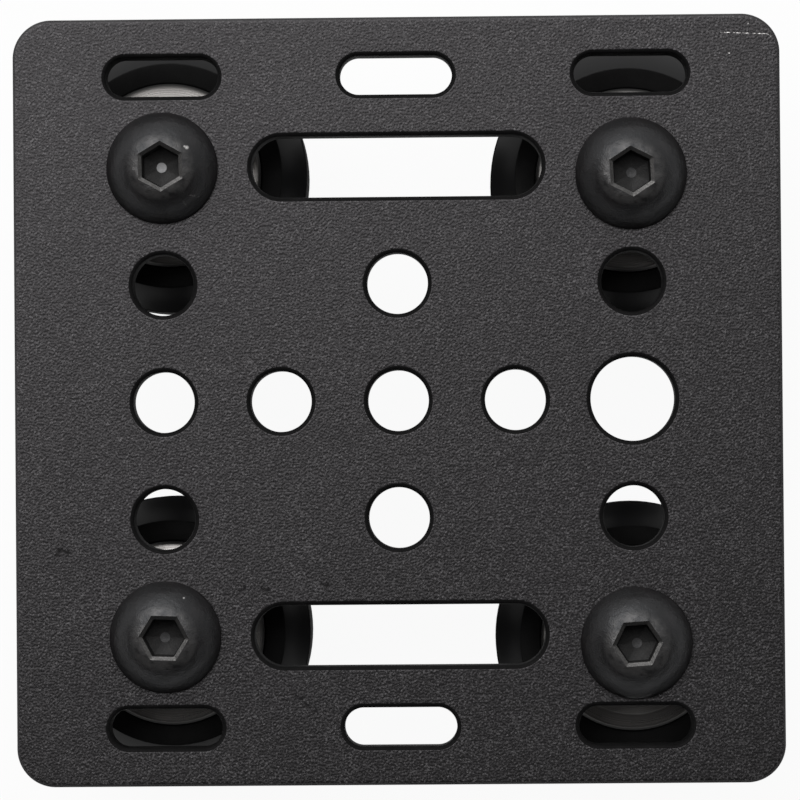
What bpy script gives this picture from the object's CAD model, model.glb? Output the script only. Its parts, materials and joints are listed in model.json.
"""Dresses the gantry plate for its photograph.

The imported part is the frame. The plate, the axle screws, the wheels and the round spacers are modelled again with
soft edges, and the other pieces keep their solids and get a finish. Sizes are in millimetres, as a drawing gives
them, and places come from the frame. The part stands on z = 0, with its rail along Y.
"""

import functools
import json
import logging
import math
from collections.abc import Iterable, Iterator, Sequence
from dataclasses import dataclass, field, replace
from enum import Enum
from typing import ClassVar

import bmesh
import bpy
from mathutils import Matrix, Vector

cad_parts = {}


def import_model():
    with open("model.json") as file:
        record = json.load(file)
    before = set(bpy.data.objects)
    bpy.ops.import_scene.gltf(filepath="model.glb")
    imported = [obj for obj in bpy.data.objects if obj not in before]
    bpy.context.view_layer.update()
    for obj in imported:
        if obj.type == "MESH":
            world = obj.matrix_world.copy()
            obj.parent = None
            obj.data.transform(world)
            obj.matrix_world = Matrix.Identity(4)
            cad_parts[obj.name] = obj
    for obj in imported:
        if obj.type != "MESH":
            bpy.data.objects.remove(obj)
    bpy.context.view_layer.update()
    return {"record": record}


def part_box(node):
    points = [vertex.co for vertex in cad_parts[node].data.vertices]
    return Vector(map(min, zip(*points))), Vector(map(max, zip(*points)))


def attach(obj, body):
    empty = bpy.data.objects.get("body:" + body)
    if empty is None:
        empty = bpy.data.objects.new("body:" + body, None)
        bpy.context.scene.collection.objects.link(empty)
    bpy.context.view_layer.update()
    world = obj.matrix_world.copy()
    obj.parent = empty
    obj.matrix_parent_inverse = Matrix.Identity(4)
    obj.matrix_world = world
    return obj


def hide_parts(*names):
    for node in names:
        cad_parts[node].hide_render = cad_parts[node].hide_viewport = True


log = logging.getLogger("gantry_plate")

MM = 0.001
WELD = 0.5e-6
SMOOTH_ANGLE = math.radians(32)
FULL_TURN = 2 * math.pi
ROUND_STEPS = 96
THREAD_STEPS = 24
DOME_STEPS = 16
SWEEP_STEPS = 8
FILLET_STEPS = 3
HEX_SIDES = 6
IMAGE_SIDE = 800

MIDDLE_BAND = (0.3, 0.7)
CLOUD_BAND = (0.32, 0.68)
DASH_BAND = (0.45, 0.55)
FACET_BAND = (0.72, 1.0)
FACET_SCALE = 1.7

Colour = tuple[float, float, float]
Socket = bpy.types.NodeSocket
Inputs = bpy.types.NodeInputs
Outputs = bpy.types.NodeOutputs
Vert = bmesh.types.BMVert
Edge = bmesh.types.BMEdge
Face = bmesh.types.BMFace


def rgba(colour: Colour) -> tuple[float, float, float, float]:
    """Gives a linear colour its alpha of 1."""
    return (*colour, 1.0)


class Station(Enum):
    """The four places where an axle carries a wheel, by the names that the frame uses."""

    REAR_LEFT = "rear_left"
    REAR_RIGHT = "rear_right"
    FRONT_LEFT = "front_left"
    FRONT_RIGHT = "front_right"

    @property
    def eccentric(self) -> bool:
        """Whether the axle sits in an eccentric spacer."""
        return self in (Station.REAR_RIGHT, Station.FRONT_RIGHT)

    def node(self, piece: str) -> str:
        """Names one of this station's nodes in the frame."""
        return f"{self.value}_{piece}"


# Shader nodes


def empty_tree(owner: bpy.types.Material | bpy.types.World) -> bpy.types.NodeTree:
    """Empties the nodes of a material or a world and returns their tree."""
    owner.use_nodes = True
    owner.node_tree.nodes.clear()
    return owner.node_tree


class Board:
    """A node tree with short calls that add nodes and join them."""

    def __init__(self, tree: bpy.types.NodeTree) -> None:
        """Takes the tree to work on."""
        self.tree = tree

    def join(self, source: object, socket: Socket) -> None:
        """Feeds an input.

        Args:
            source: A socket that is linked to it, or a plain value that it is set to.
            socket: The input.
        """
        if isinstance(source, Socket):
            self.tree.links.new(source, socket)
        else:
            socket.default_value = source

    def add(self, kind: str, inputs: dict[str | int, object] | None = None, **settings: object) -> bpy.types.Node:
        """Adds a node.

        Args:
            kind: Blender's name of the node type.
            inputs: Values or sockets for the node's inputs, by name or number.
            settings: Properties of the node.

        Returns:
            The new node.
        """
        node = self.tree.nodes.new(kind)
        for key, value in settings.items():
            setattr(node, key, value)
        for key, value in (inputs or {}).items():
            self.join(value, node.inputs[key])
        return node

    def math(self, operation: str, *values: object) -> Socket:
        """Adds a Math node and returns its result."""
        return self.add("ShaderNodeMath", dict(enumerate(values)), operation=operation).outputs[0]

    def remap(self, value: Socket, low: object, high: object, to_low: object = 0.0, to_high: object = 1.0) -> Socket:
        """Maps the span from low to high onto another span, clamped at both ends, and returns the result."""
        return self.add("ShaderNodeMapRange", dict(enumerate((value, low, high, to_low, to_high)))).outputs[0]

    def lift(self, value: Socket, floor: float) -> Socket:
        """Lifts the low end of a value from 0 to a floor and returns the result."""
        return self.remap(value, 0.0, 1.0, floor, 1.0)

    def blend(self, factor: object, first: object, second: object) -> Socket:
        """Mixes two colours and returns the result."""
        return self.add("ShaderNodeMix", {0: factor, 6: first, 7: second}, data_type="RGBA").outputs[2]

    def noise(self, vector: Socket, scale: object, detail: float = 2.0, rough: float = 0.5) -> Socket:
        """Adds a noise texture and returns its grey value."""
        inputs = {"Vector": vector, "Scale": scale, "Detail": detail, "Roughness": rough}
        return self.add("ShaderNodeTexNoise", inputs).outputs[0]

    def axes(self, vector: Socket) -> Outputs:
        """Returns the X, Y and Z of a point."""
        return self.add("ShaderNodeSeparateXYZ", {0: vector}).outputs

    def radius(self, vector: Socket) -> Socket:
        """Returns the distance of a point from the Z axis."""
        flat = self.add("ShaderNodeVectorMath", {0: vector, 1: (1.0, 1.0, 0.0)}, operation="MULTIPLY")
        return self.add("ShaderNodeVectorMath", {0: flat.outputs[0]}, operation="LENGTH").outputs["Value"]


def effect_group(name: str, inputs: dict[str, float], outputs: Sequence[str]) -> tuple[Board, Outputs, Inputs]:
    """Starts a shader node group that reads a point.

    Args:
        name: Name of the group.
        inputs: Default of each number that it takes beside the point, by name.
        outputs: Names of the values that it puts out.

    Returns:
        The group's board, the sockets of what it is given and the sockets of what it puts out.
    """
    tree = bpy.data.node_groups.new(name, "ShaderNodeTree")
    tree.interface.new_socket("Vector", in_out="INPUT", socket_type="NodeSocketVector")
    for key, default in inputs.items():
        socket = tree.interface.new_socket(key, in_out="INPUT", socket_type="NodeSocketFloat")
        socket.default_value = default
    for key in outputs:
        tree.interface.new_socket(key, in_out="OUTPUT", socket_type="NodeSocketFloat")
    board = Board(tree)
    return board, board.add("NodeGroupInput").outputs, board.add("NodeGroupOutput").inputs


@functools.cache
def fine_grain() -> bpy.types.NodeTree:
    """Builds the grain of a blasted, plated or moulded surface, with a few bright facets in it.

    Returns:
        The node group.
    """
    board, given, out = effect_group("Fine grain", {"Scale": 1000.0}, ("Grain", "Facets"))
    fine = board.noise(given["Vector"], given["Scale"], 0.0)
    finer = board.math("MULTIPLY", given["Scale"], FACET_SCALE)
    cells = board.add("ShaderNodeTexVoronoi", {"Vector": given["Vector"], "Scale": finer})
    chance = board.add("ShaderNodeSeparateColor", {0: cells.outputs["Color"]}).outputs[0]
    board.join(board.remap(fine, *MIDDLE_BAND), out["Grain"])
    board.join(board.remap(chance, *FACET_BAND), out["Facets"])
    return board.tree


@functools.cache
def soft_mottle() -> bpy.types.NodeTree:
    """Builds slow, cloudy changes of tone, as handling and uneven plating leave.

    Returns:
        The node group.
    """
    board, given, out = effect_group("Soft mottle", {"Scale": 100.0}, ("Mottle",))
    cloud = board.noise(given["Vector"], given["Scale"], 4.0, 0.55)
    board.join(board.remap(cloud, *CLOUD_BAND), out["Mottle"])
    return board.tree


@functools.cache
def turned_rings() -> bpy.types.NodeTree:
    """Builds the fine rings that a lathe leaves round the Z axis, on faces and on walls.

    Returns:
        The node group.
    """
    board, given, out = effect_group("Turned rings", {"Pitch": 0.0002}, ("Rings",))
    along = board.math("ADD", board.radius(given["Vector"]), board.axes(given["Vector"])["Z"])
    turns = board.math("DIVIDE", along, given["Pitch"])
    rings = board.add("ShaderNodeTexNoise", {"W": turns, "Scale": 1.0}, noise_dimensions="1D")
    board.join(board.remap(rings.outputs[0], *MIDDLE_BAND), out["Rings"])
    return board.tree


@functools.cache
def worn_ring() -> bpy.types.NodeTree:
    """Builds a ring of wear or grime round the Z axis, even or broken, strongest at one radius.

    Returns:
        The node group.
    """
    sizes = {"Radius": 0.002, "Width": 0.0005, "Scale": 2000.0}
    board, given, out = effect_group("Worn ring", sizes, ("Even", "Broken"))
    away = board.math("SUBTRACT", board.radius(given["Vector"]), given["Radius"])
    near = board.math("DIVIDE", board.math("ABSOLUTE", away), given["Width"])
    even = board.remap(near, 1.0, 0.2)
    gaps = board.remap(board.noise(given["Vector"], given["Scale"], rough=0.55), *MIDDLE_BAND)
    board.join(even, out["Even"])
    board.join(board.math("MULTIPLY", even, gaps), out["Broken"])
    return board.tree


@functools.cache
def scratch_line() -> bpy.types.NodeTree:
    """Builds a dashed scratch that starts at the origin and runs along X.

    Returns:
        The node group.
    """
    sizes = {"Length": 0.004, "Width": 0.0001, "Scale": 3000.0}
    board, given, out = effect_group("Scratch line", sizes, ("Scratch",))
    place = board.axes(given["Vector"])
    across = board.math("DIVIDE", board.math("ABSOLUTE", place["Y"]), given["Width"])
    begun = board.math("GREATER_THAN", place["X"], 0.0)
    short = board.math("LESS_THAN", place["X"], given["Length"])
    dashes = board.remap(board.noise(given["Vector"], given["Scale"]), *DASH_BAND)
    line = board.math("MULTIPLY", board.remap(across, 1.0, 0.3), board.math("MULTIPLY", begun, short))
    board.join(board.math("MULTIPLY", line, dashes), out["Scratch"])
    return board.tree


class Coat(Board):
    """The nodes of a material: its shader, and the point that the patterns are read at."""

    def __init__(self, material: bpy.types.Material, centre: Vector, constants: dict[str, object]) -> None:
        """Starts the material.

        Args:
            material: The material.
            centre: Point of the row frame that the patterns are centred on, in metres.
            constants: Values of the shader's inputs, by name.
        """
        super().__init__(empty_tree(material))
        shader = self.add("ShaderNodeBsdfPrincipled", constants)
        self.shader = shader.inputs
        self.add("ShaderNodeOutputMaterial", {"Surface": shader.outputs[0]})
        self.vector = self.add("ShaderNodeTexCoord").outputs["Object"]
        self.vector = self.moved(tuple(-centre))

    def moved(self, shift: Sequence[float], turn: float = 0.0) -> Socket:
        """Returns the point turned about Z, in radians, and then shifted, in metres."""
        place = {"Vector": self.vector, "Location": shift, "Rotation": (0.0, 0.0, turn)}
        return self.add("ShaderNodeMapping", place).outputs[0]

    def apply(self, group: bpy.types.NodeTree, **inputs: object) -> Outputs:
        """Places a shared node group, which reads the point if not told otherwise, and returns its outputs."""
        return self.add("ShaderNodeGroup", {"Vector": self.vector, **inputs}, node_tree=group).outputs

    def on_top(self, mask: Socket) -> Socket:
        """Returns a mask without the part of it that lies below the upper faces."""
        return self.math("MULTIPLY", mask, self.math("GREATER_THAN", self.axes(self.vector)["Z"], -MM))


# Finishes


@dataclass(frozen=True)
class Finish:
    """A surface finish, from which each piece gets a material centred on itself.

    Attributes:
        name: Name of the material.
        slot: Slot of the record that the finish belongs to.
        dark: Linear colour in the low spots of the pattern.
        light: Linear colour in the high spots.
        roughness: Roughness in the high and in the low spots.
        metallic: 1 for bare metal and 0 for the rest.
        specular: Specular level of the shader.
        tint: Colour of its sheen.
        relief: Height of the pattern, in millimetres.
        grain: Size of the grain, in millimetres.
        grain_floor: Share of the pattern that is left in the low spots of the grain.
        cloud: Size of the cloudy changes of tone, in millimetres.
        cloud_floor: Share of the pattern that is left in the dark clouds.
    """

    name: str
    slot: str
    dark: Colour
    light: Colour
    roughness: tuple[float, float]
    metallic: float = 0.0
    specular: float = 0.5
    tint: Colour = (1.0, 1.0, 1.0)
    relief: float = 0.01
    grain: float = 0.12
    grain_floor: float = 0.6
    cloud: float = 2.0
    cloud_floor: float = 0.4

    def material(self, centre: Vector) -> bpy.types.Material:
        """Builds the material.

        Args:
            centre: Point of the row frame that the pattern is centred on, in metres.

        Returns:
            The material.
        """
        material = bpy.data.materials.new(self.name)
        constants = {"Metallic": self.metallic, "Specular IOR Level": self.specular, "Specular Tint": rgba(self.tint)}
        self.paint(Coat(material, centre, constants))
        return material

    def paint(self, coat: Coat) -> None:
        """Adds this finish's pattern to the material. Each kind of finish has its own."""
        raise NotImplementedError

    def grains(self, coat: Coat) -> Outputs:
        """Returns the grain and its facets."""
        return coat.apply(fine_grain(), Scale=1 / (self.grain * MM))

    def clouds(self, coat: Coat) -> Socket:
        """Returns the cloudy changes of tone."""
        return coat.apply(soft_mottle(), Scale=1 / (self.cloud * MM))["Mottle"]

    def tone(self, coat: Coat, pattern: Socket, height: Socket) -> Socket:
        """Drives roughness and relief.

        Args:
            coat: The material.
            pattern: Value from 0 to 1 that sets colour and roughness.
            height: Value from 0 to 1 that sets the relief.

        Returns:
            The colour that the pattern gives.
        """
        coat.join(coat.remap(pattern, 0.0, 1.0, self.roughness[1], self.roughness[0]), coat.shader["Roughness"])
        bump = coat.add("ShaderNodeBump", {"Height": height, "Strength": 1.0, "Distance": self.relief * MM})
        coat.join(bump.outputs[0], coat.shader["Normal"])
        return coat.blend(pattern, rgba(self.dark), rgba(self.light))


@dataclass(frozen=True)
class Scratch:
    """One scratch or rub.

    Attributes:
        start: Where it starts, from the middle of the piece, in millimetres.
        end: Where it ends.
        width: Half its width, in millimetres.
        strength: How far it covers what is under it, from 0 to 1.
    """

    start: tuple[float, float]
    end: tuple[float, float]
    width: float = 0.5
    strength: float = 0.9


@dataclass(frozen=True)
class Nick:
    """A small bright nick: its place from the middle of the piece and its radius, in millimetres."""

    x: float
    y: float
    r: float


@dataclass(frozen=True)
class MarkedFinish(Finish):
    """A finish with nicks and scratches down to the metal, on the upper faces.

    Attributes:
        bare: Colour of the metal.
        dash: Size of the gaps in a scratch, in millimetres.
        nicks: The nicks.
        scratches: The scratches.
    """

    bare: Colour = (0.55, 0.54, 0.53)
    dash: float = 0.4
    nicks: tuple[Nick, ...] = ()
    scratches: tuple[Scratch, ...] = ()

    def line(self, coat: Coat, scratch: Scratch) -> Socket:
        """Draws a scratch.

        Args:
            coat: The material.
            scratch: The scratch.

        Returns:
            Its mask.
        """
        start, end = Vector(scratch.start) * MM, Vector(scratch.end) * MM
        turn = math.atan2((end - start).y, (end - start).x)
        back = Matrix.Rotation(-turn, 2) @ -start
        moved = coat.moved((back.x, back.y, 0.0), -turn)
        sizes = {"Length": (end - start).length, "Width": scratch.width * MM, "Scale": 1 / (self.dash * MM)}
        line = coat.apply(scratch_line(), Vector=moved, **sizes)["Scratch"]
        return coat.on_top(coat.math("MULTIPLY", line, scratch.strength))

    def marks(self, coat: Coat) -> Iterator[Socket]:
        """Draws the nicks and scratches.

        Args:
            coat: The material.

        Returns:
            The mask of each of them.
        """
        for nick in self.nicks:
            moved = coat.moved((-nick.x * MM, -nick.y * MM, 0.0))
            yield coat.on_top(coat.apply(worn_ring(), Vector=moved, Radius=0.0, Width=nick.r * MM)["Even"])
        for scratch in self.scratches:
            yield self.line(coat, scratch)

    def bare_marks(self, coat: Coat, colour: Socket, metal: Socket | None = None) -> None:
        """Lays the nicks and scratches over a colour and drives the shader with the result.

        Args:
            coat: The material.
            colour: The colour under the marks.
            metal: Mask of the metal that shows already.
        """
        for mark in self.marks(coat):
            colour = coat.blend(mark, colour, rgba(self.bare))
            metal = coat.math("MAXIMUM", metal, mark) if metal else mark
        coat.join(colour, coat.shader["Base Color"])
        if metal:
            coat.join(metal, coat.shader["Metallic"])


@dataclass(frozen=True)
class BlastedAnodise(MarkedFinish):
    """Black anodising on a blasted plate.

    Attributes:
        facets: Share of the bright facets in the pattern, where the rest is the grain.
        smudges: Dull, dark rubs, drawn as wide scratches.
    """

    grain: float = 0.2
    cloud: float = 7.0
    cloud_floor: float = 0.7
    facets: float = 0.9
    smudges: tuple[Scratch, ...] = ()

    def paint(self, coat: Coat) -> None:
        """Adds grain, bright facets, clouds, smudges and marks.

        Args:
            coat: The material.
        """
        grain = self.grains(coat)
        glint = coat.math("MULTIPLY", grain["Facets"], self.facets)
        tone = coat.math("MULTIPLY_ADD", grain["Grain"], 1 - self.facets, glint)
        tone = coat.math("MULTIPLY", tone, coat.lift(self.clouds(coat), self.cloud_floor))
        colour = self.tone(coat, tone, grain["Grain"])
        rough = coat.shader["Roughness"].links[0].from_socket
        for smudge in self.smudges:
            dull = self.line(coat, smudge)
            colour = coat.blend(dull, colour, rgba(self.dark))
            rough = coat.math("MAXIMUM", rough, dull)
        coat.join(rough, coat.shader["Roughness"])
        self.bare_marks(coat, colour)


@dataclass(frozen=True)
class BlackOxide(MarkedFinish):
    """Blackened steel of a screw, rubbed bright round its socket and nicked.

    Attributes:
        dents: Depth of the soft dents, as a multiple of the grain's relief.
        worn: Colour of the bright metal.
        worn_radius: Radius of the worn ring, in millimetres.
        worn_width: Half the width of that ring.
        worn_gap: Size of the gaps in it.
    """

    grain_floor: float = 0.5
    cloud: float = 1.6
    dents: float = 7.0
    worn: Colour = (0.1, 0.098, 0.097)
    worn_radius: float = 2.15
    worn_width: float = 0.8
    worn_gap: float = 0.9

    def paint(self, coat: Coat) -> None:
        """Adds grain, clouds, the worn ring and marks.

        Args:
            coat: The material.
        """
        grain, cloud = self.grains(coat)["Grain"], self.clouds(coat)
        tone = coat.math("MULTIPLY", coat.lift(grain, self.grain_floor), cloud)
        colour = self.tone(coat, tone, coat.math("MULTIPLY_ADD", cloud, self.dents, grain))
        sizes = {"Radius": self.worn_radius * MM, "Width": self.worn_width * MM, "Scale": 1 / (self.worn_gap * MM)}
        wear = coat.apply(worn_ring(), **sizes)["Broken"]
        self.bare_marks(coat, coat.blend(wear, colour, rgba(self.worn)), wear)


@dataclass(frozen=True)
class TurnedFinish(Finish):
    """A turned or ground piece with fine rings round its axle.

    Attributes:
        pitch: Spacing of the rings, in millimetres.
        film: Colour of the thin film of grease and dust in places.
        filmed: How much of the film there is, from 0 to 1.
        film_floor: Share of the film that is left where it is thinnest.
        crowned: Slope by which its side faces fall away from the axle.
        grime: Colour of the dark line where the piece meets its seat.
        grime_radius: Radius of that line, in millimetres, or 0 for none.
        grime_width: Half its width.
    """

    cloud: float = 3.0
    cloud_floor: float = 0.75
    pitch: float = 0.15
    film: Colour = (0.12, 0.105, 0.09)
    filmed: float = 0.15
    film_floor: float = 0.4
    crowned: float = 0.0
    grime: Colour = (0.008, 0.0075, 0.007)
    grime_radius: float = 0.0
    grime_width: float = 0.45

    def paint(self, coat: Coat) -> None:
        """Adds rings, a cloudy film over them and the dark line at the seat.

        Args:
            coat: The material.
        """
        rings = coat.apply(turned_rings(), Pitch=self.pitch * MM)["Rings"]
        cloud = self.clouds(coat)
        height = rings
        if self.crowned:
            slope = -self.crowned / (self.relief * MM)
            height = coat.math("MULTIPLY_ADD", coat.radius(coat.vector), slope, rings)
        colour = self.tone(coat, coat.math("MULTIPLY", rings, coat.lift(cloud, self.cloud_floor)), height)
        film = coat.math("MULTIPLY", coat.remap(cloud, 1.0, 0.0, self.film_floor, 1.0), self.filmed)
        colour = coat.blend(film, colour, rgba(self.film))
        if self.grime_radius:
            sizes = {"Radius": self.grime_radius * MM, "Width": self.grime_width * MM}
            line = coat.apply(worn_ring(), **sizes)["Even"]
            colour = coat.blend(line, colour, rgba(self.grime))
            coat.join(coat.remap(line, 0.0, 1.0, self.metallic, 0.0), coat.shader["Metallic"])
        coat.join(colour, coat.shader["Base Color"])


@dataclass(frozen=True)
class PlatedFinish(Finish):
    """A plated, pressed or moulded piece with an even grain."""

    def paint(self, coat: Coat) -> None:
        """Adds grain and clouds.

        Args:
            coat: The material.
        """
        grain, cloud = self.grains(coat)["Grain"], self.clouds(coat)
        tone = coat.math("MULTIPLY", coat.lift(grain, self.grain_floor), coat.lift(cloud, self.cloud_floor))
        coat.join(self.tone(coat, tone, grain), coat.shader["Base Color"])


# Each finish gives its name, slot, dark colour, light colour and roughness, and then what else sets it apart.

PLATE_BLACK = BlastedAnodise(
    "Blasted black anodise", "plate_black", (0.001, 0.001, 0.001), (0.08, 0.078, 0.08), (0.33, 0.38),
    specular=0.395, tint=(1.0, 0.965, 0.995), relief=0.0115,
    scratches=(
        Scratch((27.73, 31.17), (31.76, 30.98), width=0.05, strength=1.0),
        Scratch((31.76, 30.98), (32.06, 30.78), width=0.06, strength=1.0),
    ),
    nicks=(Nick(28.46, 29.38, 0.09), Nick(30.09, 31.87, 0.07)),
    smudges=(
        Scratch((-13.8, -16.0), (-13.0, -15.7)),
        Scratch((-11.8, -15.8), (-10.9, -16.1)),
        Scratch((-6.7, -15.4), (-6.0, -15.7), width=0.55),
        Scratch((-29.5, -12.9), (-28.8, -12.3)),
        Scratch((-28.8, -12.3), (-28.0, -12.9)),
        Scratch((-8.9, -24.9), (-7.2, -26.4)),
        Scratch((18.75, 30.02), (19.15, 30.12), width=0.3),
    ),
)
WALL_BLACK = PlatedFinish(
    "Smooth black anodise", "plate_black", (0.003, 0.003, 0.003), (0.008, 0.0078, 0.008), (0.62, 0.72),
    specular=0.05, relief=0.004,
)
EDGE_BLACK = PlatedFinish(
    "Rubbed black anodise", "plate_black", (0.018, 0.0175, 0.018), (0.04, 0.039, 0.04), (0.5, 0.6),
    specular=0.2, relief=0.004,
)
SCREW_BLACK = BlackOxide(
    "Black oxide", "screw_steel", (0.0018, 0.0014, 0.0015), (0.0066, 0.005, 0.0052), (0.34, 0.44),
    tint=(0.94, 0.97, 1.0), relief=0.006,
)
RUBBED_LIP = PlatedFinish(
    "Rubbed steel", "screw_steel", (0.03, 0.0295, 0.029), (0.105, 0.103, 0.101), (0.42, 0.54),
    metallic=1.0, relief=0.004, cloud=0.8,
)
SOCKET_BLACK = PlatedFinish(
    "Socket black", "screw_steel", (0.006, 0.006, 0.0062), (0.022, 0.0215, 0.021), (0.5, 0.62),
    specular=0.2, relief=0.006, cloud=0.9,
)
DULL_MARK = PlatedFinish(
    "Punched steel", "screw_steel", (0.02, 0.02, 0.0205), (0.07, 0.07, 0.0715), (0.45, 0.55),
    specular=0.3, relief=0.004, cloud=0.5,
)
BRIGHT_MARK = replace(DULL_MARK, name="Punched bright steel", dark=(0.24, 0.24, 0.243), light=(0.4, 0.4, 0.405))
WHEEL_BLACK = TurnedFinish(
    "Black acetal", "wheel_plastic", (0.002, 0.002, 0.0022), (0.005, 0.005, 0.0054), (0.24, 0.32),
    specular=0.22, relief=0.0004, pitch=0.2, film=(0.016, 0.016, 0.0165),
)
WHEEL_SIDE = PlatedFinish(
    "Matt black acetal", "wheel_plastic", (0.004, 0.004, 0.004), (0.009, 0.009, 0.009), (0.46, 0.56),
    specular=0.08, relief=0.002,
)
WHEEL_CROWN = replace(
    WHEEL_BLACK,
    name="Worn black acetal", dark=(0.003, 0.003, 0.003), light=(0.008, 0.008, 0.008), roughness=(0.72, 0.82),
    specular=0.03, relief=0.0008, pitch=0.25,
)
BEARING_STEEL = TurnedFinish(
    "Ground bearing steel", "bearing_steel", (0.24, 0.23, 0.22), (0.38, 0.37, 0.36), (0.26, 0.36),
    metallic=1.0, relief=0.001, pitch=0.08, grime_radius=7.98, crowned=0.1,
)
SHIELD_STEEL = TurnedFinish(
    "Pressed shield steel", "shield_steel", (0.30, 0.29, 0.28), (0.46, 0.45, 0.44), (0.30, 0.42),
    metallic=1.0, relief=0.002, pitch=0.12, filmed=0.3,
)
SHIM_STEEL = TurnedFinish(
    "Shim steel", "shim_steel", (0.48, 0.48, 0.48), (0.66, 0.66, 0.66), (0.26, 0.38),
    metallic=1.0, relief=0.002, pitch=0.1,
)
SPACER_ALUMINIUM = TurnedFinish(
    "Turned aluminium", "spacer_aluminium", (0.60, 0.60, 0.61), (0.78, 0.78, 0.79), (0.24, 0.36),
    metallic=1.0, relief=0.004, pitch=0.18, filmed=0.05,
)
ECCENTRIC_STEEL = TurnedFinish(
    "Turned steel", "eccentric_steel", (0.48, 0.48, 0.49), (0.64, 0.64, 0.65), (0.24, 0.36),
    metallic=1.0, relief=0.003, pitch=0.14, filmed=0.08,
)
NUT_ZINC = PlatedFinish(
    "Zinc plate", "nut_steel", (0.34, 0.35, 0.37), (0.52, 0.53, 0.55), (0.26, 0.42),
    metallic=1.0, relief=0.003,
)
BALL_STEEL = PlatedFinish(
    "Polished ball steel", "ball_steel", (0.74, 0.74, 0.76), (0.82, 0.82, 0.84), (0.06, 0.12),
    metallic=1.0, relief=0.0005,
)
CAGE_STEEL = PlatedFinish(
    "Pressed cage steel", "cage_steel", (0.42, 0.40, 0.37), (0.58, 0.56, 0.52), (0.28, 0.42),
    metallic=1.0, relief=0.002,
)
INSERT_NYLON = PlatedFinish(
    "Nylon", "insert_nylon", (0.07, 0.15, 0.30), (0.11, 0.21, 0.40), (0.42, 0.54),
    relief=0.004, grain=0.2,
)


# Meshes


def only(kind: type, geom: Iterable[object]) -> list:
    """Returns the items of one kind from what a mesh operator gives back."""
    return [item for item in geom if isinstance(item, kind)]


def soften(
    bm: bmesh.types.BMesh, geom: Sequence[Vert | Edge], offset: float, affect: str, segments: int = FILLET_STEPS
) -> None:
    """Rounds corners or edges.

    Args:
        bm: The mesh.
        geom: The corners or edges.
        offset: Width of the rounding, in metres.
        affect: Blender's word for which of the two they are.
        segments: Number of faces across the rounding.
    """
    bmesh.ops.bevel(bm, geom=geom, offset=offset, affect=affect, segments=segments, profile=0.5, material=-1)


def top_middle(node: str) -> Vector:
    """Returns the middle of a node's top face."""
    low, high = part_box(node)
    return Vector(((low.x + high.x) / 2, (low.y + high.y) / 2, high.z))


@dataclass(frozen=True)
class Corner:
    """A corner of a turned piece's half section: radius, height and the fillet on it, in millimetres."""

    r: float
    z: float
    fillet: float = 0.0


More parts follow.
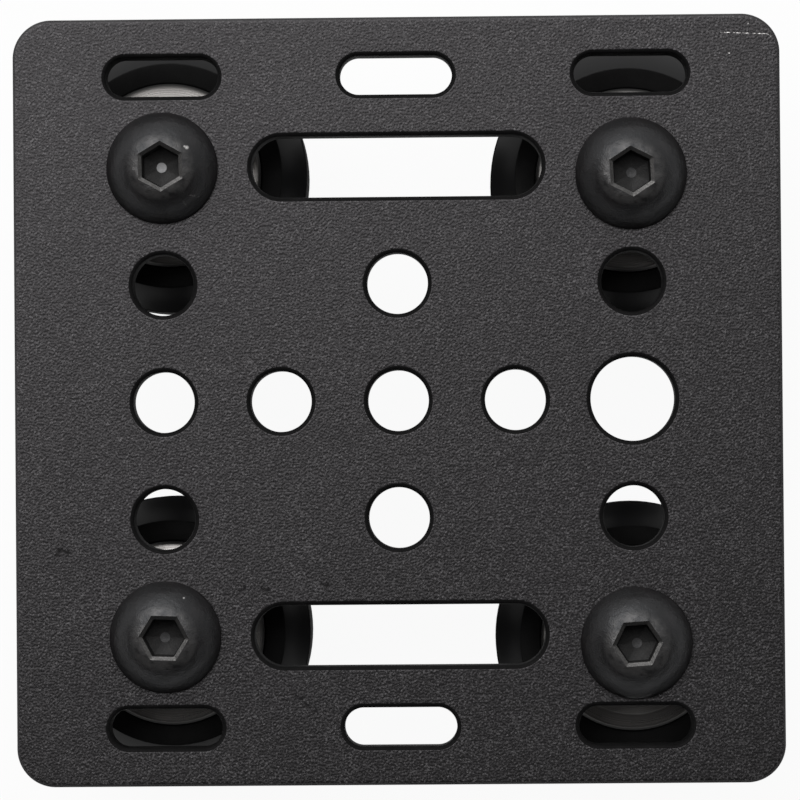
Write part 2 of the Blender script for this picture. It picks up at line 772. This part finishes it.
class Workpiece:
    """A mesh on the bench, with the operations that shape it."""

    def __init__(self, axle: Vector, floor: float = 0.0) -> None:
        """Starts an empty mesh.

        Args:
            axle: Point on the axis of the piece, in metres.
            floor: Height of the piece's own z = 0, in metres.
        """
        self.bm = bmesh.new()
        self.axle = axle
        self.floor = floor
        self.last: Vert | None = None
        self.first: Vert | None = None
        self.fillets: dict[float, list[Vert]] = {}

    def point(self, r: float, z: float) -> Vector:
        """Returns the place of a point of the half section."""
        return Vector((self.axle.x + r * MM, self.axle.y, self.floor + z * MM))

    def draw(self, *corners: Corner) -> None:
        """Draws the half section on.

        Args:
            corners: The corners that it goes through.
        """
        for corner in corners:
            vert = self.bm.verts.new(self.point(corner.r, corner.z))
            if self.last is None:
                self.first = vert
            else:
                self.bm.edges.new((self.last, vert))
            if corner.fillet:
                self.fillets.setdefault(corner.fillet, []).append(vert)
            self.last = vert

    def draw_arc(self, r: float, z: float, angle: float, steps: int) -> None:
        """Draws the half section on along an arc.

        Args:
            r: Radius where the middle of the arc lies, in millimetres.
            z: Height where the middle of the arc lies.
            angle: Angle of the arc, in radians, positive from outwards to upwards.
            steps: Number of edges in the arc.
        """
        middle = self.point(r, z)
        swept = bmesh.ops.spin(self.bm, geom=[self.last], cent=middle, axis=(0, -1, 0), angle=angle, steps=steps)
        self.last = only(Vert, swept["geom_last"])[0]

    def turn(self, closed: bool) -> None:
        """Rounds the drawn corners and turns the half section about the axle.

        Args:
            closed: Whether the section closes on itself, as that of a ring does.
        """
        if closed:
            self.bm.edges.new((self.last, self.first))
        for fillet, verts in self.fillets.items():
            soften(self.bm, verts, fillet * MM, "VERTICES")
        wire = [edge for edge in self.bm.edges if not edge.link_faces]
        ends = list({vert for edge in wire for vert in edge.verts})
        bmesh.ops.spin(
            self.bm,
            geom=ends + wire,
            cent=self.axle,
            axis=(0, 0, 1),
            angle=FULL_TURN,
            steps=ROUND_STEPS,
            use_merge=True,
        )
        bmesh.ops.remove_doubles(self.bm, verts=self.bm.verts[:], dist=WELD)

    def open_edges(self) -> list[Edge]:
        """Returns the edges round the mesh's open mouth."""
        return [edge for edge in self.bm.edges if edge.is_boundary]

    def ring(self, r: float, z: float, sides: int = ROUND_STEPS, turn: float = 0.0) -> list[Edge]:
        """Adds a loose ring of edges about the axle, round or with a few straight sides.

        Args:
            r: Radius over its corners, in millimetres.
            z: Its height.
            sides: Number of straight sides.
            turn: Turn of the first corner from X, in radians.

        Returns:
            The edges of the ring, as many as those of a round one.
        """
        place = Matrix.Translation(self.point(0.0, z)) @ Matrix.Rotation(turn - math.pi / 2, 4, "Z")
        verts = bmesh.ops.create_circle(self.bm, segments=sides, radius=r * MM, matrix=place)["verts"]
        edges = list({edge for vert in verts for edge in vert.link_edges})
        if sides < ROUND_STEPS:
            bmesh.ops.subdivide_edges(self.bm, edges=edges, cuts=ROUND_STEPS // sides - 1)
        return [edge for edge in self.bm.edges if edge.is_wire]

    def sink(self, edges: Sequence[Edge], depth: float, scale: float = 1.0) -> list[Edge]:
        """Extrudes a loop of edges downwards.

        Args:
            edges: The loop.
            depth: How far down, in millimetres.
            scale: Size of the new loop as a share of the old one, about the axle.

        Returns:
            The new loop.
        """
        grown = bmesh.ops.extrude_edge_only(self.bm, edges=edges)["geom"]
        verts = only(Vert, grown)
        about = Matrix.Translation(-self.axle)
        bmesh.ops.scale(self.bm, vec=(scale, scale, 1.0), space=about, verts=verts)
        bmesh.ops.translate(self.bm, vec=(0, 0, -depth * MM), verts=verts)
        return only(Edge, grown)

    def finish(self, name: str, node: str, centre: Vector, *finishes: Finish) -> None:
        """Makes the mesh an object of the scene that stands for a node of the frame.

        Args:
            name: Name of the piece.
            node: The node that it stands for.
            centre: Point that the finishes are centred on.
            finishes: Its finishes, in the order of the faces' material numbers.
        """
        bmesh.ops.recalc_face_normals(self.bm, faces=self.bm.faces[:])
        mesh = bpy.data.meshes.new(name)
        self.bm.to_mesh(mesh)
        self.bm.free()
        mesh.shade_smooth()
        mesh.set_sharp_from_angle(angle=SMOOTH_ANGLE)
        for finish in finishes:
            mesh.materials.append(finish.material(centre))
        piece = bpy.data.objects.new(name, mesh)
        bpy.context.scene.collection.objects.link(piece)
        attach(piece, BODY_OF[node])
        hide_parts(node)
        log.info("%s: %d faces, rides on %s", name, len(mesh.polygons), BODY_OF[node])


def dress_node(node: str, finish: Finish, centre: Vector) -> None:
    """Gives a node of the frame its finish.

    Args:
        node: The node.
        finish: Its finish.
        centre: Point that the finish is centred on.
    """
    material = finish.material(centre)
    for slot in bpy.data.objects[node].material_slots:
        slot.material = material
    log.info("%s: dressed in %s", node, finish.name)


# Plate


@dataclass(frozen=True)
class Opening:
    """A hole or a slot in the plate: its middle, its length along X and its width, in millimetres."""

    x: float
    y: float
    length: float
    width: float


@dataclass
class Plate:
    """The square plate with its holes and slots.

    Attributes:
        corner_r: Radius of its corners, in millimetres.
        edge_round: Rounding of its outer edges.
        mouth_round: Rounding of the mouths of holes and slots.
        grid: Pitch of the hole grid.
        axle: Distance from the middle of the plate to the axles, along X and along Y.
        screw_hole: Diameter of the screw holes.
        boss_hole: Diameter of the holes for eccentric bosses.
        long_slot: Length and width of the long slots.
        short_slot: Length and width of the short slots.
        short_slot_y: Distance from the middle of the plate to the rows of short slots.
        lip: Width of the flat strip that keeps the rounding of a mouth even.
        blasted_slope: Upward part of a face's normal below which it is smooth and not blasted.
        wall_slope: Upward part of a face's normal below which it is a wall.
        node: The plate's node in the frame.
    """

    corner_r: float = 3.3
    edge_round: float = 0.2
    mouth_round: float = 0.35
    grid: float = 10.0
    axle: float = 20.0
    screw_hole: float = 5.2
    boss_hole: float = 7.2
    long_slot: tuple[float, float] = (24.8, 5.2)
    short_slot: tuple[float, float] = (9.6, 3.3)
    short_slot_y: float = 27.8
    lip: float = 0.1
    blasted_slope: float = 0.98
    wall_slope: float = 0.5
    node: str = "gantry_plate"

    def openings(self) -> Iterator[Opening]:
        """Lists the holes and slots.

        Returns:
            Each of them.
        """
        for column in (-2, -1, 0, 1):
            yield Opening(column * self.grid, 0.0, self.screw_hole, self.screw_hole)
        yield Opening(2 * self.grid, 0.0, self.boss_hole, self.boss_hole)
        for end in (-1, 1):
            yield Opening(0.0, end * self.grid, self.screw_hole, self.screw_hole)
            yield Opening(0.0, end * self.axle, *self.long_slot)
            for x in (-self.axle, 0.0, self.axle):
                yield Opening(x, end * self.short_slot_y, *self.short_slot)
            yield Opening(-self.axle, end * self.axle, self.screw_hole, self.screw_hole)
            yield Opening(self.axle, end * self.axle, self.boss_hole, self.boss_hole)
            for side in (-1, 1):
                yield Opening(side * self.axle, end * self.grid, self.screw_hole, self.screw_hole)

    def trace(self, work: Workpiece, middle: Vector, radius: float, reach: tuple[float, float]) -> None:
        """Draws a closed outline with round corners, as a circle that is pulled apart.

        Args:
            work: The mesh.
            middle: Middle of the outline, in metres.
            radius: Radius of its corners, in metres.
            reach: How far the quarters of the circle move along X and along Y, in metres.
        """
        half_step = math.pi / ROUND_STEPS
        place = Matrix.Translation(middle) @ Matrix.Rotation(half_step, 4, "Z")
        wide = radius / math.cos(half_step)
        ring = bmesh.ops.create_circle(work.bm, segments=ROUND_STEPS, radius=wide, matrix=place)["verts"]
        for axis, distance in enumerate(reach):
            for side in (-1, 1):
                quarter = [vert for vert in ring if (vert.co[axis] - middle[axis]) * side > 0]
                shift = Vector((0.0, 0.0, 0.0))
                shift[axis] = side * distance
                bmesh.ops.translate(work.bm, vec=shift, verts=quarter)

    def build(self) -> None:
        """Builds the plate."""
        low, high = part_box(self.node)
        middle = top_middle(self.node)
        work = Workpiece(middle)
        bm = work.bm
        corner = self.corner_r * MM
        self.trace(work, middle, corner, ((high.x - low.x) / 2 - corner, (high.y - low.y) / 2 - corner))
        for hole in self.openings():
            at = middle + Vector((hole.x, hole.y, 0.0)) * MM
            self.trace(work, at, hole.width / 2 * MM, ((hole.length - hole.width) / 2 * MM, 0.0))
        filled = bmesh.ops.triangle_fill(bm, use_beauty=True, edges=bm.edges[:], normal=(0, 0, 1))
        top, inset = only(Face, filled["geom"]), (self.mouth_round + self.lip) * MM
        bmesh.ops.inset_region(bm, faces=top, use_boundary=True, use_even_offset=True, thickness=inset)
        grown = bmesh.ops.extrude_face_region(bm, geom=bm.faces[:])["geom"]
        bmesh.ops.translate(bm, vec=(0, 0, low.z - high.z), verts=only(Vert, grown))
        bmesh.ops.recalc_face_normals(bm, faces=bm.faces[:])
        outer, mouths = self.rims(work, high)
        soften(bm, outer, self.edge_round * MM, "EDGES")
        soften(bm, mouths, self.mouth_round * MM, "EDGES")
        bm.normal_update()
        for face in bm.faces:
            if abs(face.normal.z) < self.blasted_slope:
                face.material_index = 2 if self.outside(face.calc_center_median(), high) else 1
        work.finish("blasted_plate", self.node, middle, PLATE_BLACK, WALL_BLACK, EDGE_BLACK)

    def outside(self, spot: Vector, high: Vector) -> bool:
        """Tells whether a point lies at the plate's outer edge, given the plate's highest corner."""
        inner = Vector((high.x, high.y)) - Vector((self.corner_r, self.corner_r)) * MM / 2
        return max(abs(spot.x) - inner.x, abs(spot.y) - inner.y) > 0

    def rims(self, work: Workpiece, high: Vector) -> tuple[list[Edge], list[Edge]]:
        """Finds the sharp edges where a wall meets the top or bottom face.

        Args:
            work: The mesh.
            high: Highest corner of the plate.

        Returns:
            The outer edges, and the edges of the holes and slots.
        """
        outer, mouths = [], []
        for edge in work.bm.edges:
            walls = [face for face in edge.link_faces if abs(face.normal.z) < self.wall_slope]
            if len(walls) == 1:
                spot = (edge.verts[0].co + edge.verts[1].co) / 2
                (outer if self.outside(spot, high) else mouths).append(edge)
        return outer, mouths


# Wheel stations


class AxlePiece:
    """A turned piece on the axle of a station, known by its node in the frame and by its own name."""

    piece: ClassVar[str]
    name: ClassVar[str]

    def build(self, station: Station, axle: Vector) -> None:
        """Builds the piece of a station.

        Args:
            station: The station.
            axle: Point on its axle.
        """
        node = station.node(self.piece)
        low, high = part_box(node)
        work = Workpiece(axle, low.z)
        finishes = self.shape(work, (high.z - low.z) / MM, station)
        work.finish(station.node(self.name), node, axle, *finishes)

    def shape(self, work: Workpiece, height: float, station: Station) -> tuple[Finish, ...]:
        """Shapes the mesh and returns its finishes. Each kind of piece has its own."""
        raise NotImplementedError


@dataclass(frozen=True)
class Head:
    """What sets one screw's head apart from the others.

    Attributes:
        turn: Turn of its socket, in degrees.
        mark: Finish of the punch mark in its socket.
        nicks: Nicks in it.
        scratches: Scratches on it.
    """

    turn: float
    mark: Finish = DULL_MARK
    nicks: tuple[Nick, ...] = ()
    scratches: tuple[Scratch, ...] = ()


HEADS = {
    Station.REAR_LEFT: Head(
        turn=31.0,
        mark=BRIGHT_MARK,
        nicks=(Nick(2.27, 1.59, 0.2), Nick(2.08, 1.68, 0.12)),
        scratches=(
            Scratch((1.94, -2.27), (3.22, -2.58), width=0.12, strength=0.14),
            Scratch((1.6, -2.5), (2.2, -3.4), width=0.09, strength=0.08),
        ),
    ),
    Station.REAR_RIGHT: Head(turn=33.0),
    Station.FRONT_LEFT: Head(turn=-2.0, nicks=(Nick(1.68, 3.36, 0.1),)),
    Station.FRONT_RIGHT: Head(turn=4.0),
}


@dataclass
class AxleScrew(AxlePiece):
    """The button-head screw that is a wheel's axle.

    Attributes:
        shank_r: Radius over the thread, in millimetres.
        core_r: Radius at the root of the thread.
        pitch: Pitch of the thread.
        ridge: Where its ridge starts, is full, falls off and ends, as shares of the pitch.
        sunk: How far the ridge is let into the core.
        tip: Length of the end without a thread.
        tip_round: Rounding of that end.
        neck_round: Rounding where the shank meets the head.
        head_r: Radius of the head.
        head_h: Height of the head.
        rim_h: Height of the straight rim below the dome.
        rim_round: Rounding under that rim.
        flat_r: Radius of the nearly flat part on top.
        rise: How far that part still rises towards the socket.
        socket: Width of the hexagon socket across its flats.
        lip: Width of the chamfer round its mouth.
        lip_h: Depth of that chamfer.
        taper: Size of the hexagon at its floor, as a share of that at its mouth.
        socket_h: Depth of the socket.
        cone_h: Depth of the cone below the socket.
        mark_r: Radius of the punch mark in the middle of the floor.
    """

    piece: ClassVar[str] = "screw"
    name: ClassVar[str] = "button_screw"

    shank_r: float = 2.45
    core_r: float = 2.05
    pitch: float = 0.8
    ridge: tuple[float, float, float, float] = (0.02, 0.44, 0.56, 0.98)
    sunk: float = 0.05
    tip: float = 0.5
    tip_round: float = 0.05
    neck_round: float = 0.1
    head_r: float = 4.75
    head_h: float = 2.75
    rim_h: float = 0.35
    rim_round: float = 0.08
    flat_r: float = 2.3
    rise: float = 0.08
    socket: float = 3.15
    lip: float = 0.3
    lip_h: float = 0.14
    taper: float = 0.92
    socket_h: float = 1.7
    cone_h: float = 0.4
    mark_r: float = 0.43

    def shape(self, work: Workpiece, height: float, station: Station) -> tuple[Finish, ...]:
        """Turns the shank and the head, cuts the socket and winds the thread.

        Args:
            work: The mesh.
            height: Height of the screw, in millimetres.
            station: The station.

        Returns:
            The finishes of the outside, the socket's lip, the socket and the punch mark.
        """
        head = HEADS[station]
        seat = height - self.head_h
        work.draw(
            Corner(0.0, 0.0),
            Corner(self.core_r, 0.0, self.tip_round),
            Corner(self.core_r, seat - self.pitch),
            Corner(self.shank_r, seat - self.pitch / 2),
            Corner(self.shank_r, seat, self.neck_round),
            Corner(self.head_r, seat, self.rim_round),
            Corner(self.head_r, seat + self.rim_h),
        )
        dome_h = self.head_h - self.rise
        squares = dome_h**2 + self.flat_r**2 - self.rim_h**2 - self.head_r**2
        dome_z = squares / (2 * (dome_h - self.rim_h))
        start = math.atan2(self.rim_h - dome_z, self.head_r)
        end = math.atan2(dome_h - dome_z, self.flat_r)
        work.draw_arc(0.0, seat + dome_z, end - start, DOME_STEPS)
        work.turn(closed=False)
        self.cut_socket(work, height, math.radians(head.turn))
        self.wind_thread(work, seat - self.pitch)
        black = replace(SCREW_BLACK, nicks=head.nicks, scratches=head.scratches)
        return black, RUBBED_LIP, SOCKET_BLACK, head.mark

    def cut_socket(self, work: Workpiece, top: float, turn: float) -> None:
        """Cuts a hexagon with a chamfered lip into the head's flat, with a coned floor and a punch mark in it.

        Args:
            work: The mesh, open at the edge of the head's flat.
            top: Height of the lip, in millimetres.
            turn: Turn of the hexagon, in radians.
        """
        wide = self.socket + 2 * self.lip
        flat = work.open_edges()
        lip = work.ring(wide / 2 / math.cos(math.pi / HEX_SIDES), top, HEX_SIDES, turn)
        bmesh.ops.triangle_fill(work.bm, use_beauty=True, edges=flat + lip, normal=(0, 0, 1))
        mouth = work.sink(lip, self.lip_h, self.socket / wide)
        for face in {face for edge in mouth for face in edge.link_faces}:
            face.material_index = 1
        floor = work.sink(mouth, self.socket_h - self.lip_h, self.taper)
        mark = work.ring(self.mark_r, top - self.socket_h - self.cone_h)
        bmesh.ops.bridge_loops(work.bm, edges=floor + mark)
        for face in {face for edge in floor for face in edge.link_faces}:
            face.material_index = 2
        for face in bmesh.ops.edgeloop_fill(work.bm, edges=mark)["faces"]:
            face.material_index = 3

    def wind_thread(self, work: Workpiece, length: float) -> None:
        """Winds the ridge of the thread round the core.

        Args:
            work: The mesh.
            length: Length of the thread, in millimetres.
        """
        turns = int((length - self.tip) / self.pitch) - 1
        root = self.core_r - self.sunk
        section = [
            work.bm.verts.new(work.point(r, self.tip + share * self.pitch))
            for r, share in zip((root, self.shank_r, self.shank_r, root), self.ridge)
        ]
        start = work.bm.faces.new(section)
        bmesh.ops.spin(
            work.bm,
            geom=[start, *start.edges, *start.verts],
            cent=work.axle,
            axis=(0, 0, 1),
            dvec=(0, 0, self.pitch * MM / THREAD_STEPS),
            angle=FULL_TURN * turns,
            steps=THREAD_STEPS * turns,
            use_duplicate=False,
        )


@dataclass
class RailWheel(AxlePiece):
    """The wheel, with a flat crown between two flanks and a seat for each bearing.

    Attributes:
        rim_r: Radius over the crown, in millimetres.
        rim_round: Rounding where crown and flank meet.
        crown: Half the width of the crown.
        side_r: Radius where the flanks end at the side faces.
        side_round: Rounding there.
        bore_r: Radius of the bearing seats.
        bore_round: Rounding of their mouths.
        ridge_r: Radius of the ridge between them.
        ridge_round: Rounding of its edges.
        ridge: Half the width of that ridge.
        side_slope: Upward part of a face's normal above which it is a matt side face.
        crown_slope: Upward part of a face's normal below which it belongs to the worn crown or lower flank.
    """

    piece: ClassVar[str] = "wheel"
    name: ClassVar[str] = "rail_wheel"

    rim_r: float = 11.95
    rim_round: float = 0.15
    crown: float = 2.95
    side_r: float = 9.8
    side_round: float = 0.08
    bore_r: float = 8.01
    bore_round: float = 0.2
    ridge_r: float = 7.01
    ridge_round: float = 0.1
    ridge: float = 0.5
    side_slope: float = 0.9
    crown_slope: float = 0.68

    def shape(self, work: Workpiece, height: float, station: Station) -> tuple[Finish, ...]:
        """Turns the wheel.

        Args:
            work: The mesh.
            height: Width of the wheel, in millimetres.
            station: The station.

        Returns:
            The finishes of the upper flank, the side faces, and the crown with the lower flank.
        """
        half = height / 2
        work.floor += half * MM
        upper = [
            Corner(self.ridge_r, self.ridge, self.ridge_round),
            Corner(self.bore_r, self.ridge),
            Corner(self.bore_r, half, self.bore_round),
            Corner(self.side_r, half, self.side_round),
            Corner(self.rim_r, self.crown, self.rim_round),
        ]
        work.draw(*upper, *(Corner(c.r, -c.z, c.fillet) for c in reversed(upper)))
        work.turn(closed=True)
        bmesh.ops.recalc_face_normals(work.bm, faces=work.bm.faces[:])
        for face in work.bm.faces:
            rise = face.normal.z
            face.material_index = 1 if abs(rise) > self.side_slope else 2 if rise < self.crown_slope else 0
        return WHEEL_BLACK, WHEEL_SIDE, WHEEL_CROWN


@dataclass
class RoundSpacer(AxlePiece):
    """The turned spacer between the plate and the bearings of a fixed axle.

    Attributes:
        r: Outer radius, in millimetres.
        bore_r: Radius of the bore.
        edge: Rounding of its outer edges, twice that of the bore's.
    """

    piece: ClassVar[str] = "spacer"
    name: ClassVar[str] = "round_spacer"

    r: float = 5.0
    bore_r: float = 2.55
    edge: float = 0.3

    def shape(self, work: Workpiece, height: float, station: Station) -> tuple[Finish, ...]:
        """Turns the spacer.

        Args:
            work: The mesh.
            height: Height of the spacer, in millimetres.
            station: The station.

        Returns:
            Its finish.
        """
        work.draw(Corner(self.bore_r, 0.0, self.edge / 2), Corner(self.r, 0.0, self.edge))
        work.draw(Corner(self.r, height, self.edge), Corner(self.bore_r, height, self.edge / 2))
        work.turn(closed=True)
        return (SPACER_ALUMINIUM,)


@dataclass
class WheelStation:
    """One axle with all that it carries.

    Attributes:
        station: Which of the four it is.
        screw: Sizes of the screw.
        wheel: Sizes of the wheel.
        spacer: Sizes of the round spacer.
    """

    station: Station
    screw: AxleScrew = field(default_factory=AxleScrew)
    wheel: RailWheel = field(default_factory=RailWheel)
    spacer: RoundSpacer = field(default_factory=RoundSpacer)

    @property
    def axle(self) -> Vector:
        """Returns the point of the axle in the middle of the wheel."""
        low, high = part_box(self.station.node("wheel"))
        return (low + high) / 2

    def build(self) -> None:
        """Builds the pieces that are modelled again."""
        self.screw.build(self.station, self.axle)
        self.wheel.build(self.station, self.axle)
        if not self.station.eccentric:
            self.spacer.build(self.station, self.axle)

    def dress(self) -> None:
        """Gives the other pieces their finish."""
        finishes = {
            "cages": CAGE_STEEL,
            "shields": SHIELD_STEEL,
            "shim": SHIM_STEEL,
            "lock_nut": NUT_ZINC,
            "nut_insert": INSERT_NYLON,
        }
        for level in ("upper", "lower"):
            finishes[f"{level}_outer_ring"] = BEARING_STEEL
            finishes[f"{level}_inner_ring"] = BEARING_STEEL
            finishes[f"{level}_balls"] = BALL_STEEL
        if self.station.eccentric:
            finishes["eccentric_spacer"] = ECCENTRIC_STEEL
        for piece, finish in finishes.items():
            dress_node(self.station.node(piece), finish, self.axle)


# Studio and camera


@dataclass(frozen=True)
class SoftLamp:
    """A square soft lamp that points at the plate.

    Attributes:
        name: Name of the lamp.
        place: Where it hangs, in metres.
        side: Side of its square, in metres.
        watts: Its power.
        colour: Its colour.
    """

    name: str
    place: tuple[float, float, float]
    side: float
    watts: float
    colour: Colour = (1.0, 1.0, 1.0)

    def hang(self, target: Vector) -> None:
        """Adds the lamp to the scene.

        Args:
            target: Point that it is turned to.
        """
        data = bpy.data.lights.new(self.name, "AREA")
        data.shape = "SQUARE"
        data.size = self.side
        data.energy = self.watts
        data.color = self.colour
        lamp = bpy.data.objects.new(self.name, data)
        lamp.location = self.place
        lamp.rotation_mode = "QUATERNION"
        lamp.rotation_quaternion = (target - Vector(self.place)).to_track_quat("-Z", "Y")
        bpy.context.scene.collection.objects.link(lamp)
        log.info("%s: %.2f W", self.name, self.watts)


@dataclass
class Studio:
    """A white floor that sweeps up to a low white wall all round, in a room with its light at the rear.

    Attributes:
        floor_r: Radius of the floor, in metres.
        wall_h: Height of the wall round it.
        sweep: Radius of the curve between the two.
        floor_white: Colour of both.
        shown_white: Share of plain white in what is seen of them, where the rest is their lit surface.
        bright_side: Direction in which the room is brightest.
        room_span: Where the room starts and ends to brighten, from 0 beside that direction to 1 along it.
        room_light: Strength of the room's light before and after that span.
        lamps: The soft lamps.
    """

    floor_r: float = 3.0
    wall_h: float = 0.6
    sweep: float = 0.25
    floor_white: Colour = (0.8, 0.8, 0.8)
    shown_white: float = 0.94
    bright_side: tuple[float, float, float] = (-0.05, 1.0, 0.0)
    room_span: tuple[float, float] = (0.0, 0.8)
    room_light: tuple[float, float] = (0.05, 0.8)
    lamps: tuple[SoftLamp, ...] = (
        SoftLamp("key_lamp", (-0.104, 0.249, 0.446), 0.5, 2.62, (1.0, 0.99, 0.995)),
        SoftLamp("side_lamp", (0.40, 0.10, 0.42), 0.4, 0.22),
    )

    def white(self) -> bpy.types.Material:
        """Builds the white of the floor, which shows nearly plain white from above and is clear from below.

        Returns:
            The material.
        """
        material = bpy.data.materials.new("Studio white")
        board = Board(empty_tree(material))
        rays = board.add("ShaderNodeLightPath").outputs
        seen = board.math("MAXIMUM", rays["Is Camera Ray"], rays["Is Glossy Ray"])
        seen = board.math("MAXIMUM", seen, rays["Is Transmission Ray"])
        share = board.math("MULTIPLY", seen, self.shown_white)
        paper = board.add("ShaderNodeBsdfDiffuse", {"Color": rgba(self.floor_white)})
        white = board.add("ShaderNodeEmission", {"Strength": 1.0})
        mixed = board.add("ShaderNodeMixShader", {0: share, 1: paper.outputs[0], 2: white.outputs[0]})
        clear = board.add("ShaderNodeBsdfTransparent")
        below = board.add("ShaderNodeNewGeometry").outputs["Backfacing"]
        one_sided = board.add("ShaderNodeMixShader", {0: below, 1: mixed.outputs[0], 2: clear.outputs[0]})
        board.add("ShaderNodeOutputMaterial", {"Surface": one_sided.outputs[0]})
        return material

    def lay_floor(self) -> None:
        """Lays the floor that the part stands on, with the wall round it."""
        bm = bmesh.new()
        bmesh.ops.create_circle(bm, cap_ends=True, segments=ROUND_STEPS, radius=self.floor_r)
        rim = bm.edges[:]
        grown = bmesh.ops.extrude_edge_only(bm, edges=rim)["geom"]
        bmesh.ops.translate(bm, vec=(0, 0, self.wall_h), verts=only(Vert, grown))
        soften(bm, rim, self.sweep, "EDGES", SWEEP_STEPS)
        mesh = bpy.data.meshes.new("studio_floor")
        bm.to_mesh(mesh)
        bm.free()
        mesh.shade_smooth()
        mesh.materials.append(self.white())
        floor = bpy.data.objects.new("studio_floor", mesh)
        bpy.context.scene.collection.objects.link(floor)

    def light_room(self) -> None:
        """Sets the room's own light."""
        world = bpy.data.worlds.new("studio_room")
        board = Board(empty_tree(world))
        way = board.add("ShaderNodeTexCoord").outputs["Generated"]
        rear = board.add("ShaderNodeVectorMath", {0: way, 1: self.bright_side}, operation="DOT_PRODUCT")
        strength = board.remap(rear.outputs["Value"], *self.room_span, *self.room_light)
        room = board.add("ShaderNodeBackground", {"Color": rgba((1.0, 1.0, 1.0)), "Strength": strength})
        board.add("ShaderNodeOutputWorld", {"Surface": room.outputs[0]})
        bpy.context.scene.world = world

    def build(self, target: Vector) -> None:
        """Builds the studio round the part.

        Args:
            target: Point that the lamps are turned to.
        """
        self.lay_floor()
        self.light_room()
        for lamp in self.lamps:
            lamp.hang(target)
        bpy.context.scene.view_settings.view_transform = "Standard"


@dataclass(frozen=True)
class PhotoCamera:
    """The camera of the photograph, nearly straight above the plate.

    Attributes:
        foot: Where it hangs over the plate, from the middle of its top face, in millimetres.
        height: Its height above that face.
        tilt: Its turns about X, Y and Z, in degrees.
        focal: Focal length in pixels of the square image.
        sensor: Width of its sensor, in millimetres.
        clip: Nearest and farthest that it sees, in metres.
    """

    foot: tuple[float, float] = (6.68, -5.56)
    height: float = 378.6
    tilt: tuple[float, float, float] = (0.847, 0.988, -0.488)
    focal: float = 4442.0
    sensor: float = 36.0
    clip: tuple[float, float] = (0.01, 50.0)

    def build(self, top: Vector) -> None:
        """Hangs the camera.

        Args:
            top: Middle of the plate's top face.
        """
        data = bpy.data.cameras.new("photo_camera")
        data.sensor_width = self.sensor
        data.lens = self.focal / IMAGE_SIDE * self.sensor
        data.clip_start, data.clip_end = self.clip
        camera = bpy.data.objects.new("photo_camera", data)
        turn = Matrix.Identity(4)
        for angle, axis in zip(self.tilt, "XYZ"):
            turn = turn @ Matrix.Rotation(math.radians(angle), 4, axis)
        place = top + Vector((*self.foot, self.height)) * MM
        camera.matrix_world = Matrix.Translation(place) @ turn
        bpy.context.scene.collection.objects.link(camera)
        bpy.context.scene.camera = camera


BODY_OF: dict[str, str] = {}


def main() -> None:
    """Loads the frame, builds and dresses every piece, and sets up the studio and the camera."""
    logging.basicConfig(level=logging.INFO, format="%(name)s: %(message)s")
    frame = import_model()
    for body, nodes in frame["record"]["behaviour"]["bodies"].items():
        BODY_OF.update(dict.fromkeys(nodes, body))
    plate = Plate()
    plate.build()
    for station in Station:
        stack = WheelStation(station)
        stack.build()
        stack.dress()
    top = top_middle(plate.node)
    Studio().build(top)
    PhotoCamera().build(top)


if __name__ == "__main__":
    main()
